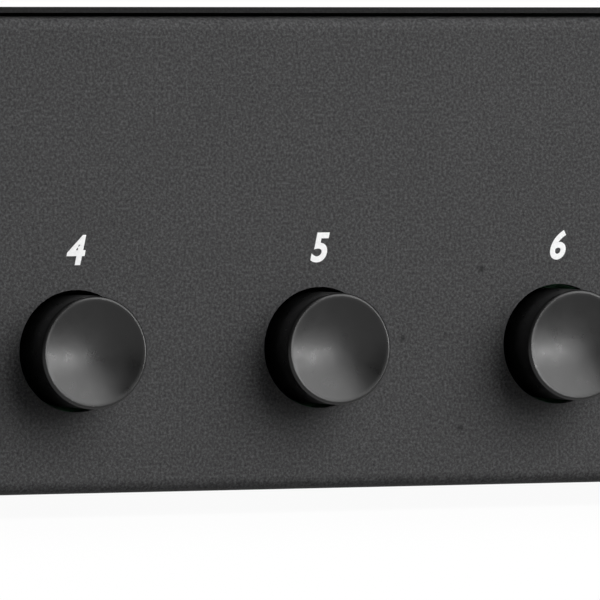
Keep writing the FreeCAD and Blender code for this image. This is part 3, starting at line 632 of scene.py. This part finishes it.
def stage_material(name, glow):
    """Pale and lit as usual, with a share of plain white where the background is seen."""
    material = bpy.data.materials.new(name)
    material.use_nodes = True
    nodes, links = material.node_tree.nodes, material.node_tree.links
    path = nodes.new("ShaderNodeLightPath")
    matt = nodes["Principled BSDF"]
    matt.inputs["Roughness"].default_value = 0.9
    colour = nodes.new("ShaderNodeMix")
    colour.data_type = "RGBA"
    colour.inputs[6].default_value = (FLOOR_BOUNCE, FLOOR_BOUNCE, FLOOR_BOUNCE, 1)
    colour.inputs[7].default_value = (FLOOR_COLOUR, FLOOR_COLOUR, FLOOR_COLOUR, 1)
    links.new(path.outputs["Is Camera Ray"], colour.inputs["Factor"])
    links.new(colour.outputs[2], matt.inputs["Base Color"])
    white = nodes.new("ShaderNodeEmission")
    white.inputs["Strength"].default_value = 1.0
    seen = path.outputs["Is Camera Ray"]
    for other in ("Is Glossy Ray", "Is Transmission Ray"):
        either = nodes.new("ShaderNodeMath")
        either.operation = "MAXIMUM"
        links.new(seen, either.inputs[0])
        links.new(path.outputs[other], either.inputs[1])
        seen = either.outputs[0]
    share = nodes.new("ShaderNodeMath")
    share.operation = "MULTIPLY"
    share.inputs[1].default_value = glow
    links.new(seen, share.inputs[0])
    mix = nodes.new("ShaderNodeMixShader")
    links.new(share.outputs[0], mix.inputs["Fac"])
    links.new(matt.outputs[0], mix.inputs[1])
    links.new(white.outputs[0], mix.inputs[2])
    links.new(mix.outputs[0], nodes["Material Output"].inputs["Surface"])
    return material


def add_sheet(name, spots, material):
    """One flat four-sided sheet of the stage."""
    mesh = bpy.data.meshes.new(name)
    mesh.from_pydata(spots, [], [(0, 1, 2, 3)])
    mesh.materials.append(material)
    sheet = bpy.data.objects.new(name, mesh)
    bpy.context.scene.collection.objects.link(sheet)


def add_stage():
    """A pale floor that keeps the shadow, and a white wall far behind the object."""
    half = STAGE_HALF
    floor = [(-half, -half, 0), (half, -half, 0), (half, half, 0), (-half, half, 0)]
    wall = [(-half, half, 0), (half, half, 0), (half, half, WALL_HEIGHT),
            (-half, half, WALL_HEIGHT)]
    add_sheet("floor", floor, stage_material("pale_floor", FLOOR_GLOW))
    add_sheet("wall", wall, stage_material("white_wall", 1.0))


AMBIENT = 0.17


def add_world():
    """Even white light from all round."""
    world = bpy.data.worlds.new("studio")
    bpy.context.scene.world = world
    world.use_nodes = True
    soft = world.node_tree.nodes["Background"]
    soft.inputs["Color"].default_value = (1, 1, 1, 1)
    soft.inputs["Strength"].default_value = AMBIENT


# Each soft box: azimuth from the panel's normal towards the right, elevation, distance in
# metres, width and height, and power.
LAMPS = {
    "key": (38, 34, 1.3, (1.2, 1.2), 24),
    "back": (150, 50, 2.0, (1.2, 1.2), 16),
    "sheen": (45, 1.3, 0.8, (0.6, 0.07), 3.0),
}


def add_lamp(name, azimuth, elevation, distance, size, power):
    """A soft box that faces the point the camera aims at."""
    lamp = bpy.data.lights.new(name, "AREA")
    lamp.shape = "RECTANGLE"
    lamp.size, lamp.size_y = size
    lamp.energy = power
    holder = bpy.data.objects.new(name, lamp)
    a, e = math.radians(azimuth), math.radians(elevation)
    towards = Vector((math.sin(a) * math.cos(e), -math.cos(a) * math.cos(e), math.sin(e)))
    spot = AIM + towards * distance
    holder.location = spot
    holder.rotation_euler = (AIM - spot).to_track_quat("-Z", "Y").to_euler()
    bpy.context.scene.collection.objects.link(holder)
    return holder


def add_lamps():
    """The soft boxes; the low one at the right is seen in reflections only."""
    for name, values in LAMPS.items():
        holder = add_lamp(name, *values)
        holder.visible_diffuse = name != "sheen"


def add_camera():
    """A camera that looks at the aimed point from the photograph's angle."""
    data = bpy.data.cameras.new("camera")
    data.lens = CAMERA_LENS
    data.sensor_width = SENSOR_WIDTH
    camera = bpy.data.objects.new("camera", data)
    a, e = math.radians(CAMERA_AZIMUTH), math.radians(CAMERA_ELEVATION)
    back = Vector((-math.sin(a) * math.cos(e), -math.cos(a) * math.cos(e), math.sin(e)))
    camera.location = AIM + back * CAMERA_DISTANCE
    turn = (-back).to_track_quat("-Z", "Y").to_matrix()
    turn = turn @ Matrix.Rotation(math.radians(CAMERA_ROLL), 3, "Z")
    camera.rotation_euler = turn.to_euler()
    bpy.context.scene.collection.objects.link(camera)
    bpy.context.scene.camera = camera


def main():
    """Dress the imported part, then light it and set the camera."""
    bpy.context.scene.view_settings.view_transform = "Standard"
    add_camera()
    made = make_materials()
    paint_nodes(made)
    make_caps(made)
    make_digits()
    make_rear_print()
    make_plug_screws(made)
    make_cover_screws(made)
    make_springs(made)
    add_stage()
    add_world()
    add_lamps()


main()
